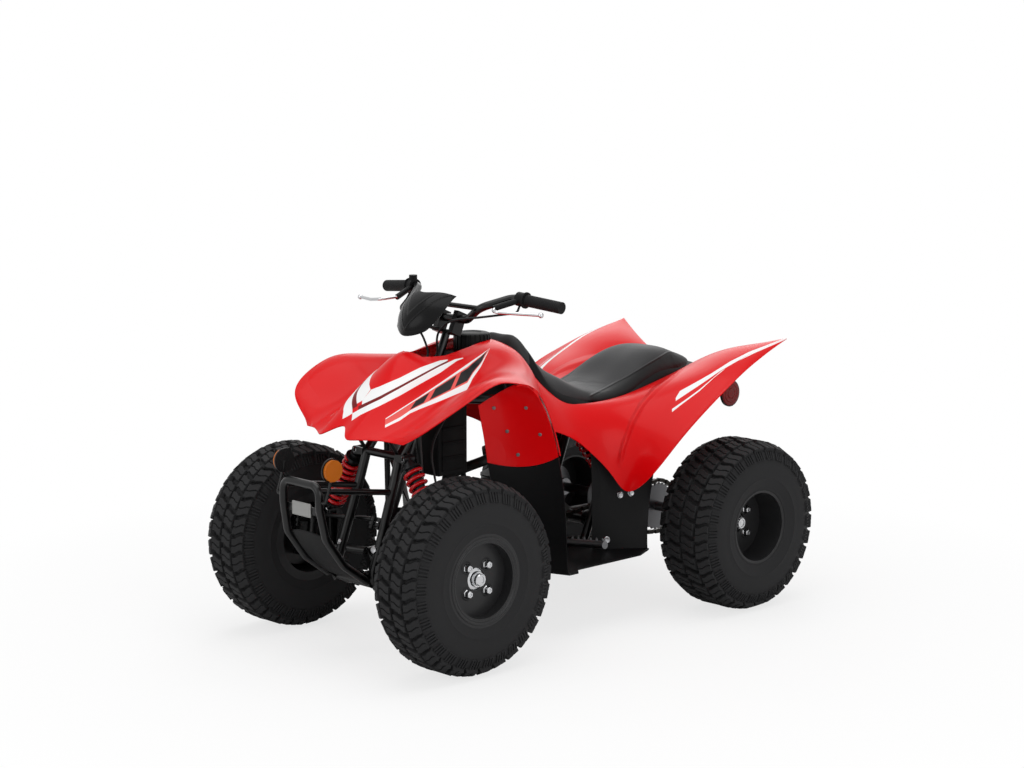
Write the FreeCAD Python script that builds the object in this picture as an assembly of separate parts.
import FreeCAD, Part
import math
import os

# Driving dimensions of the quad bike in millimetres, x forward, y to the rider's left, z up
wheelbase = 1030.0
body_half_width = 350.0
seat_height = 640.0
front_half_track = 350.0
rear_half_track = 372.0
front_tyre_radius = 254.0
front_tyre_width = 168.0
rear_tyre_radius = 241.5
rear_tyre_width = 196.0

# Wheels
bead_radius = 101.6
lip_height = 20.0
front_rim_width = 156.0
rear_rim_width = 172.0
rim_wall = 4.0
bead_clearance = 0.3
front_disc_inset = 32.0
rear_disc_inset = 84.0
disc_hole_radius = 30.0
stud_circle_radius = 47.5
nut_radius = 9.0
nut_height = 13.0
studs_per_wheel = 4
hub_flange_radius = 62.0
hub_flange_thickness = 9.0
centre_nut_radius = 17.0
centre_nut_height = 16.0
drum_radius = 78.0
drum_depth = 52.0
spindle_radius = 12.0
bearing_clearance = 0.3
backing_plate_radius = 84.0
backing_plate_thickness = 4.0
running_gap = 5.0
carcass_shares = ((0.79, 1), (0.91, 0.84), (0.953, 0.45))
shoulder_lug_shares = ((0.43, 0.975), (0.83, 0.925))
centre_lug_share = 0.36
carcass_sides = 24
lugs_per_row = 16
lug_tip_share = 0.29
lug_foot_share = 0.36
lug_root_share = 0.90

# Steering
steering_lower_shares = (0.466, 0, 0.4688)
steering_upper_shares = (0.267, 0, 1.2266)
steering_shaft_radius = 11.0
steering_arm_length = 45.0
pitman_spread = 26.0
arm_thickness = 9.0
arm_half_width = 11.0
kingpin_inset = 78.0
kingpin_lean_deg = 8.0
kingpin_radius = 8.0
kingpin_sleeve_radius = 15.0
kingpin_sleeve_length = 84.0
ear_thickness = 11.0
ear_radius = 17.0
thrust_gap = 1.0
rod_radius = 6.0
rod_end_radius = 9.5
rod_end_height = 12.0
rod_pin_radius = 4.0
rod_pin_clearance = 3.5
rod_pin_fit = 0.3
rod_end_gap = 6.5
inner_rod_end_gap = 2.4
full_turn = 360.0
half_turn = 180.0

# Frame and bumper tubes
frame_tube_radius = 12.5
cross_tube_radius = 11.0
stay_radius = 8.0
bumper_tube_radius = 11.0
tube_bend = 45.0
seat_gap = 0.3
cut_overrun = 20.0
bushing_radius = 16.0
bolt_radius = 5.0

# Body panels
panel_wall = 3.0
flap_wall = 4.0

# Handlebar
bar_radius = 11.0
crossbar_radius = 7.0
grip_radius = 16.0
grip_length = 118.0
grip_end_wall = 4.0
grip_flange_radius = 22.0
grip_flange_thickness = 4.0
bar_bend = 40.0
clamp_half_width = 17.0
clamp_height = 44.0
clamp_depth = 34.0
clamp_offset = 32.0
lever_radius = 4.5
lever_ball_radius = 7.5
lever_bend = 25.0
housing_radius = 19.0
housing_length = 24.0
throttle_box_radius = 11.5
throttle_box_height = 30.0
perch_radius = 8.0
cable_radius = 3.0
cable_bend = 400.0
cable_lead = 20.0
cable_drop_share = 1.7

# Shock absorbers
shock_eye_radius = 11.0
shock_eye_length = 22.0
damper_body_radius = 17.0
damper_rod_radius = 6.0
damper_body_share = 0.50
body_start_share = 1.4
spring_seat_radius = 27.0
spring_seat_thickness = 5.0
spring_radius = 24.0
spring_wire_radius = 4.0
spring_turns = 7

# Rear axle, swingarm and drive
axle_radius = 14.0
axle_carrier_radius = 34.0
axle_carrier_half = 48.0
swingarm_tube_radius = 15.0
swingarm_pivot_radius = 18.0
swingarm_pivot_half = 64.0
chain_side = 62.0
chain_pitch = 15.875
chain_width = 13.0
inner_chain_width = 8.0
link_height = 11.0
inner_link_height = 9.0
link_overrun = 3.0
sprocket_radius = 70.0
sprocket_thickness = 6.0
sprocket_teeth = 28
sprocket_gap = 1.0
drive_sprocket_radius = 26.0
rear_drum_radius = 70.0
rear_drum_width = 44.0
rear_drum_side = 112.0

# Engine
case_half_width = 50.0
side_cover_radius = 58.0
side_cover_depth = 34.0
side_cover_round = 12.0
fin_count = 8
fin_half = 52.0
fin_thickness = 3.5
fin_pitch = 10.5
fin_corner = 14.0
barrel_radius = 34.0
head_height = 46.0
head_half = 40.0
exhaust_radius = 14.0
muffler_radius = 42.0
carburettor_radius = 24.0

# Small parts
reflector_radius = 28.0
reflector_thickness = 9.0
reflector_rim = 4.0
rear_reflector_radius = 36.0
peg_radius = 11.0
peg_plate_thickness = 4.0
peg_tooth = 8.0
peg_teeth = 6
cap_radius = 42.0
cap_height = 26.0
cap_round = 6.0
tank_half_width = 70.0
skid_wall = 4.0
pedal_radius = 6.0

# Smaller sizes of the pieces above
half_share = 0.5
nut_sides = 6
spindle_reach = 6.0
bolt_head = 6.0
upright_share = 0.8
pitman_rise = 12.0
rod_nut_height = 6.0
rod_nut_radius = 8.0
bearing_length = 30.0
bearing_wall = 9.0
lower_bearing_share = 0.12
upper_bearing_share = 0.74
bushing_length = 44.0
arm_tube_radius = 11.0
arm_joint_share = 0.45
ear_sheet = 5.0
foot_share = 0.8
spring_start_share = 0.14
spring_end_share = 0.84
hub_neck = 14.0
hub_depth = 40.0
hub_boss_radius = 26.0
sprocket_tooth = 6.0
tooth_tip_share = 0.5
fin_start = 12.0
muffler_tail = 30.0
bowl_depth = 40.0
seat_shoulder_share = 0.72
seat_crown_share = 0.74
floor_thickness = 5.0
clamp_wall = 8.0
clamp_span = 80.0
panel_gap = 0.6
edge_gap = 3.7
flap_gap = 0.8
post_radius = 5.0
post_length = 16.0
arm_brace_share = 0.42
arm_cable_share = 0.58
pivot_bolt_radius = 8.0
pivot_bolt_half = 84.0
deck_half = 48.0
lug_length = 34.0
lug_half_width = 24.0
lug_half_height = 11.0
carburettor_length = 84.0
bowl_share = 0.55
seat_pad_radius = 9.0

# Panel and outline tables as shares of wheelbase, body half width and seat height
hood_shares = (
    (
        (0.6039, 0, 0.9563),
        (0.6359, 0.1371, 0.9219),
        (0.6272, 0.2171, 0.9187),
        (0.599, 0.3571, 0.9219),
        (0.5825, 0.4629, 0.9172),
        (0.566, 0.5571, 0.9109),
    ),
    (
        (0.5437, 0, 1.0437),
        (0.5612, 0.1571, 1.0156),
        (0.5553, 0.2229, 1),
        (0.5466, 0.3943, 0.9531),
        (0.5437, 0.5657, 0.9563),
        (0.5485, 0.72, 0.9656),
    ),
    (
        (0.4757, 0, 1.1406),
        (0.4806, 0.1771, 1.1062),
        (0.4757, 0.24, 1.0859),
        (0.4728, 0.4143, 1),
        (0.4903, 0.6629, 1.0188),
        (0.5262, 0.8657, 1.0281),
    ),
    (
        (0.4126, 0, 1.2219),
        (0.4058, 0.1943, 1.1687),
        (0.4, 0.2629, 1.1469),
        (0.3961, 0.4343, 1.0562),
        (0.4194, 0.6971, 1.0938),
        (0.4641, 0.9457, 1.0938),
    ),
    (
        (0.3301, 0, 1.2344),
        (0.332, 0.2114, 1.1938),
        (0.3282, 0.2857, 1.175),
        (0.3252, 0.4571, 1.0969),
        (0.3417, 0.7086, 1.1359),
        (0.3738, 0.9571, 1.1484),
    ),
    (
        (0.2505, 0, 1.2422),
        (0.2524, 0.2286, 1.2156),
        (0.2485, 0.3143, 1.2016),
        (0.2447, 0.4743, 1.1516),
        (0.267, 0.7143, 1.1531),
        (0.3029, 0.96, 1.1391),
    ),
    (
        (0.1796, 0, 1.25),
        (0.1825, 0.24, 1.2344),
        (0.1786, 0.3371, 1.2188),
        (0.1748, 0.5029, 1.1719),
        (0.2019, 0.7257, 1.1375),
        (0.235, 0.9657, 1.0938),
    ),
    (
        (0.1262, 0, 1.2469),
        (0.1262, 0.2457, 1.2297),
        (0.1223, 0.3486, 1.2063),
        (0.1184, 0.5143, 1.1406),
        (0.1534, 0.7314, 1.0625),
        (0.1825, 0.9686, 0.9531),
    ),
    (
        (0.0893, 0, 1.225),
        (0.0913, 0.24, 1.2063),
        (0.0874, 0.3429, 1.175),
        (0.0874, 0.4914, 1.0781),
        (0.1146, 0.6971, 0.9375),
        (0.1476, 0.9514, 0.8078),
    ),
)
hood_opening_shares = (
    (0.3961, 0, 0),
    (0.3728, 0.1257, 0),
    (0.3107, 0.1771, 0),
    (0.2233, 0.1771, 0),
    (0.1602, 0.1543, 0),
    (0.1262, 0.1086, 0),
    (0.1087, 0, 0),
)
mudguard_shares = (
    ((0.2699, 0.7486, 1.1031), (0.3146, 0.56, 1.0234)),
    ((0.2447, 0.7486, 1.0234), (0.3049, 0.5686, 0.9375)),
    ((0.2184, 0.7486, 0.8984), (0.2961, 0.58, 0.8562)),
    ((0.2, 0.7486, 0.7594), (0.2903, 0.5886, 0.7812)),
)
mudflap_shares = (
    ((0.1806, 0.7486, 0.6094), (0.2544, 0.5714, 0.6094)),
    ((0.1592, 0.7486, 0.4531), (0.2058, 0.5486, 0.4531)),
    ((0.1379, 0.7486, 0.2922), (0.1602, 0.5314, 0.2922)),
)
flap_edge_shares = ((0.134, 0.9543, 0.625), (0.1243, 0.9486, 0.4688), (0.1146, 0.9429, 0.2922))
side_shares = (
    (
        (0.0796, 0.3257, 1.1594),
        (0.0777, 0.3829, 1.1),
        (0.0738, 0.4343, 1.0281),
        (0.0621, 0.4857, 0.9469),
        (0.0427, 0.5257, 0.8625),
    ),
    (
        (0.0019, 0.3429, 1.025),
        (0, 0.4057, 0.9875),
        (-0.0058, 0.4571, 0.9375),
        (-0.0194, 0.5029, 0.875),
        (-0.0369, 0.5371, 0.8125),
    ),
    (
        (-0.0602, 0.3771, 0.9563),
        (-0.0621, 0.4343, 0.9219),
        (-0.066, 0.4857, 0.875),
        (-0.0777, 0.5257, 0.8125),
        (-0.0932, 0.5543, 0.7469),
    ),
    (
        (-0.1262, 0.3914, 0.9375),
        (-0.132, 0.4857, 0.8969),
        (-0.1379, 0.56, 0.8281),
        (-0.1437, 0.6057, 0.7344),
        (-0.1495, 0.6343, 0.6406),
    ),
    (
        (-0.2039, 0.3971, 0.9375),
        (-0.2087, 0.5429, 0.9047),
        (-0.2, 0.6571, 0.8156),
        (-0.1864, 0.7143, 0.6875),
        (-0.1748, 0.7371, 0.5656),
    ),
    (
        (-0.2913, 0.3971, 0.95),
        (-0.2913, 0.5914, 0.9391),
        (-0.268, 0.76, 0.875),
        (-0.2291, 0.8657, 0.7531),
        (-0.2, 0.9171, 0.6344),
    ),
    (
        (-0.3883, 0.3771, 0.975),
        (-0.3845, 0.6229, 1.0031),
        (-0.3612, 0.8229, 0.9719),
        (-0.3126, 0.9914, 0.8781),
        (-0.2738, 1.0571, 0.8063),
    ),
    (
        (-0.4854, 0.3371, 0.9969),
        (-0.4874, 0.6, 1.0531),
        (-0.4777, 0.8286, 1.0516),
        (-0.4466, 1.0057, 1.0031),
        (-0.4146, 1.0857, 0.9688),
    ),
    (
        (-0.5728, 0.2857, 1.0125),
        (-0.5845, 0.56, 1.0938),
        (-0.5883, 0.7771, 1.1141),
        (-0.5825, 0.9429, 1.0969),
        (-0.5709, 1.02, 1.0688),
    ),
    (
        (-0.6485, 0.2457, 1.0312),
        (-0.6845, 0.5657, 1.0969),
        (-0.7165, 0.76, 1.1313),
        (-0.7408, 0.8886, 1.1516),
        (-0.7524, 0.9371, 1.1578),
    ),
)
tail_shares = (
    ((-0.5728, 0, 0.9906), (-0.5728, 0.1429, 0.9859), (-0.5728, 0.2629, 0.975)),
    ((-0.6262, 0, 1), (-0.6272, 0.1257, 0.9969), (-0.6291, 0.2343, 0.9875)),
    ((-0.6796, 0, 1.0125), (-0.6777, 0.1029, 1.0094), (-0.6699, 0.2, 1.0031)),
)
seat_shares = (
    (0.0718, 0.1771, 1.1594, 1.2, 1.175),
    (0.0029, 0.32, 1.0188, 1.1641, 1.0625),
    (-0.0874, 0.3657, 0.9469, 1.0562, 0.975),
    (-0.1748, 0.3771, 0.9281, 0.9906, 0.95),
    (-0.233, 0.38, 0.925, 0.9781, 0.9469),
    (-0.301, 0.3771, 0.9344, 1.0094, 0.9625),
    (-0.3689, 0.3657, 0.9531, 1.0688, 1),
    (-0.4466, 0.3371, 0.9719, 1.1125, 1.0312),
    (-0.5243, 0.2971, 0.9906, 1.1062, 1.0406),
    (-0.5922, 0.2457, 1.0094, 1.0781, 1.0406),
    (-0.6291, 0.1771, 1.025, 1.0562, 1.0375),
)
shroud_shares = (
    ((0.3932, 0, 1.2953), (0.3845, 0.0857, 1.3031), (0.3689, 0.1657, 1.3219)),
    ((0.3903, 0, 1.3625), (0.3767, 0.12, 1.3687), (0.3417, 0.2286, 1.3813)),
    ((0.3612, 0, 1.4297), (0.3476, 0.12, 1.4375), (0.3068, 0.2286, 1.4312)),
    ((0.3282, 0, 1.4688), (0.3165, 0.1143, 1.4719), (0.2777, 0.2057, 1.4531)),
)
floor_shares = (
    (0.165, 0.3429, 0),
    (0.165, 0.5429, 0),
    (0.1146, 0.9543, 0),
    (0.0816, 0.9543, 0),
    (0.0583, 0.8743, 0),
    (-0.1845, 0.8686, 0),
    (-0.2505, 0.7771, 0),
    (-0.2447, 0.3429, 0),
    (-0.1845, 0.32, 0),
    (-0.0583, 0.2629, 0),
    (0.0932, 0.2629, 0),
)
guard_shares = (
    (
        (-0.1243, 0.48, 0.7344),
        (-0.1262, 0.4857, 0.625),
        (-0.1282, 0.4857, 0.4688),
        (-0.1301, 0.4914, 0.2922),
    ),
    (
        (-0.1903, 0.56, 0.7344),
        (-0.1922, 0.5771, 0.625),
        (-0.1883, 0.5886, 0.4688),
        (-0.1825, 0.6114, 0.2922),
    ),
    (
        (-0.2777, 0.6114, 0.7406),
        (-0.2602, 0.6457, 0.625),
        (-0.2447, 0.6743, 0.4688),
        (-0.2291, 0.7143, 0.2922),
    ),
    (
        (-0.3515, 0.6229, 0.7375),
        (-0.3087, 0.6686, 0.625),
        (-0.2718, 0.7143, 0.4688),
        (-0.2485, 0.7657, 0.2922),
    ),
)
case_shares = (
    (0.0738, 0, 0.3906),
    (0.0641, 0, 0.2687),
    (0.0136, 0, 0.2281),
    (-0.0932, 0, 0.2344),
    (-0.1456, 0, 0.3344),
    (-0.1592, 0, 0.4531),
    (-0.1068, 0, 0.5156),
)
tank_shares = (
    (0.2544, 0, 1.0938),
    (0.2447, 0, 1.1625),
    (0.2184, 0, 1.1938),
    (0.1184, 0, 1.1938),
    (0.0951, 0, 1.1562),
    (0.0971, 0, 1.0375),
)

lower_rail_shares = (
    (0.4903, 0.1943, 0.7188),
    (0.5485, 0.2114, 0.4531),
    (0.5786, 0.2114, 0.3187),
    (0.5291, 0.2086, 0.275),
    (0.2913, 0.2286, 0.2687),
    (-0.0971, 0.2514, 0.2687),
    (-0.1748, 0.2571, 0.2969),
    (-0.2184, 0.2629, 0.4688),
    (-0.3252, 0.2571, 0.9055),
)
upper_rail_shares = (
    (0.4728, 0.1886, 0.8125),
    (0.4078, 0.1829, 0.9375),
    (0.2913, 0.1886, 1.0234),
    (0.1748, 0.2, 1),
    (0.0583, 0.2229, 0.9531),
    (-0.1165, 0.2457, 0.8953),
    (-0.3243, 0.2571, 0.9016),
    (-0.5485, 0.24, 0.9484),
)
strut_shares = (((0.1748, 0.2, 1), (0.0777, 0.2371, 0.2687)), ((0.4078, 0.1829, 0.9375), (0.3883, 0.22, 0.2687)))
cross_tube_shares = (
    (0.4728, 0.1886, 0.8125),
    (0.5728, 0.2114, 0.3063),
    (0.2913, 0.2286, 0.2687),
    (0.0893, 0.2343, 0.2687),
    (-0.1359, 0.2543, 0.2828),
    (-0.2282, 0.2519, 0.8986),
    (-0.3612, 0.2543, 0.9094),
    (-0.5359, 0.2409, 0.9458),
    (0.0583, 0.2229, 0.9531),
)
lower_bearing_tube_shares = ((0.3971, 0.2029, 0.5719), (0.435, 0, 0.5641))
pivot_rail_shares = ((0.5485, 0.2114, 0.2906), (0.4223, 0.2163, 0.2719))
bumper_tab_shares = ((0.5689, 0, 0.2844), (0.6311, 0, 0.3531), (0.6233, 0, 0.3812), (0.5689, 0, 0.3344))
outrigger_shares = ((-0.0456, 0.2483, 0.2687), (-0.0456, 0.3571, 0.3397), (-0.0456, 0.4714, 0.3469))
frame_post_shares = (
    (0.0874, 0.2171, 0.9648),
    (0.4728, 0.1886, 0.8125),
    (-0.1748, 0.2489, 0.897),
    (-0.4369, 0.2486, 0.925),
    (-0.5417, 0.2406, 0.9469),
)
seat_pad_shares = ((-0.233, 0.252, 0.8988), (-0.5243, 0.242, 0.9434))
upper_bearing_tube_shares = ((0.2913, 0.1886, 1.0234), (0.3126, 0, 1.0344))
bumper_shares = (
    (0.5942, 0.2257, 0.3219),
    (0.6699, 0.2257, 0.4094),
    (0.7262, 0.2257, 0.5312),
    (0.7417, 0.2114, 0.6562),
    (0.7417, 0.2086, 0.75),
)
bumper_stay_shares = ((0.7417, 0.2086, 0.7312), (0.501, 0, 0.6719))
skid_shares = (
    ((0.7301, 0, 0.55), (0.7282, 0.5714, 0.5469), (0.7223, 0.9829, 0.5375)),
    ((0.6913, 0, 0.4531), (0.6893, 0.5714, 0.4516), (0.6835, 0.9829, 0.4469)),
    ((0.6447, 0, 0.3688), (0.6427, 0.5714, 0.3688), (0.6388, 0.9829, 0.3719)),
    ((0.6019, 0, 0.3312), (0.601, 0.5714, 0.3312), (0.6, 0.9829, 0.3328)),
)
arm_pivot_shares = ((0.5485, 0.3, 0.3563), (0.4223, 0.3, 0.3563))
front_shock_upper_shares = (0.4728, 0.28, 0.8125)
front_shock_lower_shares = (0.4728, 0.6343, 0.5219)
shock_bracket_shares = (0.4728, 0.6143, 0.3594)
rear_shock_upper_shares = (-0.2282, 0, 0.7937)
rear_shock_lower_shares = (-0.3883, 0, 0.4688)
swingarm_pivot_shares = (-0.2058, 0, 0.3906)
drive_sprocket_shares = (-0.1068, 0, 0.3672)
left_cover_shares = (0.0049, 0, 0.3937)
right_cover_shares = (-0.0388, 0, 0.3937)
barrel_base_shares = (0.0291, 0, 0.5156)
barrel_top_shares = (0.0544, 0, 0.6937)
exhaust_shares = (
    (0.1553, -0.0514, 0.6875),
    (0.165, -0.3086, 0.625),
    (0.1068, -0.3857, 0.5156),
    (-0.0583, -0.3943, 0.5031),
    (-0.1845, -0.4, 0.5625),
    (-0.2524, -0.4286, 0.6438),
    (-0.3204, -0.4743, 0.6875),
)
muffler_start_shares = (-0.3107, -0.4714, 0.6828)
muffler_end_shares = (-0.5437, -0.5286, 0.7344)
peg_tip_shares = (-0.0456, 0.8714, 0.3719)
shift_pedal_shares = (
    (-0.0097, 0, 0.3672),
    (-0.0097, 0.3486, 0.3672),
    (0.0854, 0.4286, 0.3719),
    (0.0932, 0.5486, 0.375),
)
brake_pedal_shares = (
    (0.0233, 0.2417, 0),
    (0.0233, 0.2417, 0.3344),
    (0.0291, 0.4, 0.3719),
    (0.0932, 0.4286, 0.375),
    (0.0971, 0.5486, 0.375),
)
cap_shares = (0.1602, 0, 1.2016)
bar_shares = (
    (0.1631, 0.9914, 1.4281),
    (0.1845, 0.5429, 1.4516),
    (0.2544, 0.3886, 1.4109),
    (0.2354, 0.1886, 1.3469),
    (0.2354, 0, 1.3469),
)
crossbar_shares = (0.2524, 0.3657, 1.4078)
left_lever_shares = (
    (0.2544, 0.56, 1.4187),
    (0.2874, 0.6343, 1.4109),
    (0.2544, 0.76, 1.4062),
    (0.2175, 0.9429, 1.4031),
)
right_lever_shares = (
    (0.2544, 0.56, 1.4125),
    (0.2951, 0.6343, 1.4031),
    (0.2913, 0.76, 1.3953),
    (0.2757, 0.9429, 1.3953),
)
front_reflector_shares = (0.7204, 0.2829, 0.8172)
reflector_stem_shares = ((0.7417, 0, 0.6875), (0.7417, 0.2829, 0.6875), (0.7262, 0.2829, 0.7594))
rear_reflector_shares = (-0.6068, 0.7029, 0.9156)
rear_reflector_facing_shares = (-0.1942, 0.4857, 0)
lower_cable_shares = (
    (0.3495, 0.32, 0.9719),
    (0.4155, 0.3429, 0.8516),
    (0.4252, 0.4571, 0.6875),
    (0.4311, 0.5486, 0.5312),
    (0.4602, 0.58, 0.4531),
)
upper_cable_shares = (
    (0.2864, 0.4286, 1.375),
    (0.3204, 0.2571, 1.3625),
    (0.3126, 0.0857, 1.2937),
    (0.2971, 0.0514, 1.2063),
    (0.3126, 0.0514, 1.15),
)

# Placing and joining helpers

longest_arc_share = 0.45


def vec(x, y, z):
    return FreeCAD.Vector(x, y, z)


origin = vec(0, 0, 0)
along_x = vec(1, 0, 0)
along_y = vec(0, 1, 0)
along_z = vec(0, 0, 1)


def at(shares):
    return vec(shares[0] * wheelbase, shares[1] * body_half_width, shares[2] * seat_height)


def toward(start, end):
    step = end.sub(start)
    return step.multiply(1 / step.Length)


def moved(point, direction, distance):
    return point.add(vec(direction.x, direction.y, direction.z).multiply(distance))


def left_to_right(shape):
    return shape.mirror(origin, along_y)


def flipped(point):
    return vec(point.x, -point.y, point.z)


def both_sides(shape):
    return Part.makeCompound([shape, left_to_right(shape)])


def rod(start, end, radius):
    axis = end.sub(start)
    return Part.makeCylinder(radius, axis.Length, start, axis)


def corners_of(half_depth, half_width):
    near = ((-half_depth, -half_width), (half_depth, -half_width))
    return near + ((half_depth, half_width), (-half_depth, half_width))


def joined(shapes):
    whole = shapes[0].fuse(shapes[1:])
    return whole.removeSplitter()


# A tube of straight runs joined by tangent arcs
def bent_path(points, bend):
    edges = []
    last = points[0]
    for before, corner, after in zip(points, points[1:], points[2:]):
        back = toward(corner, before)
        ahead = toward(corner, after)
        half_turning = (half_turn - math.degrees(back.getAngle(ahead))) / 2
        tangent = math.tan(math.radians(half_turning))
        shortest = min(corner.sub(before).Length, after.sub(corner).Length)
        radius = min(bend, longest_arc_share * shortest / tangent)
        start = moved(corner, back, radius * tangent)
        end = moved(corner, ahead, radius * tangent)
        middle = toward(origin, back.add(ahead))
        centre_distance = radius / math.cos(math.radians(half_turning))
        top = moved(corner, middle, centre_distance - radius)
        edges.append(Part.LineSegment(last, start).toShape())
        edges.append(Part.Arc(start, top, end).toShape())
        last = end
    edges.append(Part.LineSegment(last, points[-1]).toShape())
    return Part.Wire(edges)


def bent_tube(points, radius, bend):
    ring = Part.Wire(Part.makeCircle(radius, points[0], points[1].sub(points[0])))
    return bent_path(points, bend).makePipeShell([ring], True, False)


# A solid turned round an axis that runs along y through a centre
def turned(profile, centre):
    points = [vec(centre.x, centre.y + y, centre.z + r) for r, y in profile]
    face = Part.Face(Part.makePolygon(points + [points[0]]))
    return face.revolve(centre, along_y, full_turn)


# A solid of flat faces between like outlines, closed at both ends
def faceted(outlines):
    faces = [Part.Face(Part.makePolygon(outline + [outline[0]])) for outline in (outlines[0], outlines[-1])]
    for near, far in zip(outlines, outlines[1:]):
        for index in range(len(near)):
            corners = [near[index - 1], near[index], far[index], far[index - 1]]
            faces.append(Part.Face(Part.makePolygon(corners + [corners[0]])))
    shell = Part.makeShell(faces)
    shell.sewShape()
    solid = Part.makeSolid(shell)
    if solid.Volume < 0:
        solid.reverse()
    return solid


# Stations from 0 to 1 along like lines of points, spread by the root of each step
def stations(lines):
    shares = [0] * len(lines[0])
    for line in lines:
        reach = [0]
        for before, after in zip(line, line[1:]):
            reach.append(reach[-1] + math.sqrt(after.sub(before).Length))
        shares = [share + step / reach[-1] / len(lines) for share, step in zip(shares, reach)]
    return shares


def through(points, shares):
    curve = Part.BSplineCurve()
    curve.interpolate(Points=points, Parameters=shares)
    return curve


# A smooth skin through rows of points: a curve along each row, then curves across their poles
def skin(grid, along, across):
    rows = [through(row, across) for row in grid]
    poles = []
    for column in zip(*[row.getPoles() for row in rows]):
        line = through(list(column), along)
        poles.append(line.getPoles())
    surface = Part.BSplineSurface()
    surface.buildFromPolesMultsKnots(
        [list(row) for row in zip(*poles)],
        line.getMultiplicities(),
        rows[0].getMultiplicities(),
        line.getKnots(),
        rows[0].getKnots(),
        False,
        False,
        line.Degree,
        rows[0].Degree,
    )
    return surface


def border(surface):
    return [surface.uIso(0), surface.uIso(1), surface.vIso(0), surface.vIso(1)]


# The ruled edge between two border lines that share their knots
def strip(outer_line, inner_line):
    surface = Part.BSplineSurface()
    surface.buildFromPolesMultsKnots(
        [outer_line.getPoles(), inner_line.getPoles()],
        [2, 2],
        outer_line.getMultiplicities(),
        [0, 1],
        outer_line.getKnots(),
        False,
        False,
        1,
        outer_line.Degree,
    )
    return surface.toShape()


def panel_grid(rows, mirrored):
    grid = [[at(point) for point in row] for row in rows]
    if mirrored:
        grid = [[flipped(point) for point in reversed(row[1:])] + row for row in grid]
    along = stations([list(column) for column in zip(*grid)])
    return grid, along, stations(grid)


# A grid point of a panel and the outward normal there
def grid_point(rows, index, column, mirrored):
    grid, along, across = panel_grid(rows, mirrored)
    column = column + len(rows[0]) - 1 if mirrored else column
    outer = skin(grid, along, across)
    return grid[index][column], upward(outer.normal(along[index], across[column]))


def upward(normal):
    return normal if normal.z > 0 else moved(origin, normal, -1)


# A thin moulded panel through rows of points, its inner skin one wall below the outer
def panel(rows, wall, mirrored=False):
    grid, along, across = panel_grid(rows, mirrored)
    outer = skin(grid, along, across)
    inner_grid = []
    for row, u in zip(grid, along):
        inner_grid.append([moved(point, upward(outer.normal(u, v)), -wall) for point, v in zip(row, across)])
    inner = skin(inner_grid, along, across)
    faces = [outer.toShape(), inner.toShape()]
    for outer_line, inner_line in zip(border(outer), border(inner)):
        faces.append(strip(outer_line, inner_line))
    shell = Part.makeShell(faces)
    shell.sewShape()
    solid = Part.makeSolid(shell)
    if solid.Volume < 0:
        solid.reverse()
    return solid


def plate(outline, thickness, direction):
    points = outline + [outline[0]]
    return Part.Face(Part.makePolygon(points)).extrude(moved(origin, direction, thickness))


def save(shape, name):
    shape.exportStep("parts/" + name + ".step")
    print(name, len(shape.Solids), shape.isValid(), round(shape.Volume))



# Places worked out from the driving dimensions
front_axle = vec(wheelbase / 2, 0, front_tyre_radius)
rear_axle_centre = vec(-wheelbase / 2, 0, rear_tyre_radius)
left_wheel = vec(front_axle.x, front_half_track, front_tyre_radius)
steering_lower = at(steering_lower_shares)
steering_upper = at(steering_upper_shares)
steering_up = toward(steering_lower, steering_upper)
steering_ahead = along_y.cross(steering_up)
kingpin_lean = math.radians(kingpin_lean_deg)
kingpin_up = vec(-math.sin(kingpin_lean), 0, math.cos(kingpin_lean))
kingpin_ahead = along_y.cross(kingpin_up)
kingpin_centre = vec(front_axle.x, front_half_track - kingpin_inset, front_tyre_radius)


# Wheels: each tyre, rim and hub is built round its axle line
def axle_point(centre, offset, reach, degrees):
    angle = math.radians(degrees)
    return vec(centre.x + reach * math.sin(angle), centre.y + offset, centre.z - reach * math.cos(angle))


# An even outline round the axle line, its flats at the given radius and one of them at the bottom
def carcass_ring(centre, offset, radius):
    reach = radius / math.cos(math.radians(half_turn / carcass_sides))
    points = []
    for index in range(carcass_sides):
        points.append(axle_point(centre, offset, reach, full_turn * (index + half_share) / carcass_sides))
    return points


def lug_ring(centre, offset, tip, phase):
    step = full_turn / lugs_per_row
    reach = tip / math.cos(math.radians(step * lug_tip_share))
    points = []
    for index in range(lugs_per_row):
        middle = step * (index + phase)
        sides = (-lug_foot_share, -lug_tip_share, lug_tip_share, lug_foot_share)
        for side, radius in zip(sides, (0, reach, reach, 0)):
            points.append(axle_point(centre, offset, radius or tip * lug_root_share, middle + side * step))
    return points


def lug_row(centre, ends, phase):
    return faceted([lug_ring(centre, offset, tip, phase) for offset, tip in ends])


# A carcass of flats with three rows of lugs fused on, the shoulder rows half a step round
def tyre(centre, radius, width, rim_width):
    half = width / 2
    bead = bead_radius + bead_clearance
    side = [(radius * reach, half * out) for reach, out in carcass_shares]
    side = [(bead, rim_width / 2 - 2 * rim_wall)] + side
    rings = side + [(reach, -out) for reach, out in reversed(side)]
    carcass = faceted([carcass_ring(centre, out, reach) for reach, out in rings])
    bore = faceted([carcass_ring(centre, -width, bead), carcass_ring(centre, width, bead)])
    near = [(half * out, radius * tip) for out, tip in shoulder_lug_shares]
    far = [(-out, tip) for out, tip in near]
    middle = [(-half * centre_lug_share, radius), (half * centre_lug_share, radius)]
    rows = [lug_row(centre, near, half_share), lug_row(centre, far, half_share), lug_row(centre, middle, 0)]
    return joined([carcass] + rows).cut(bore)


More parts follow.
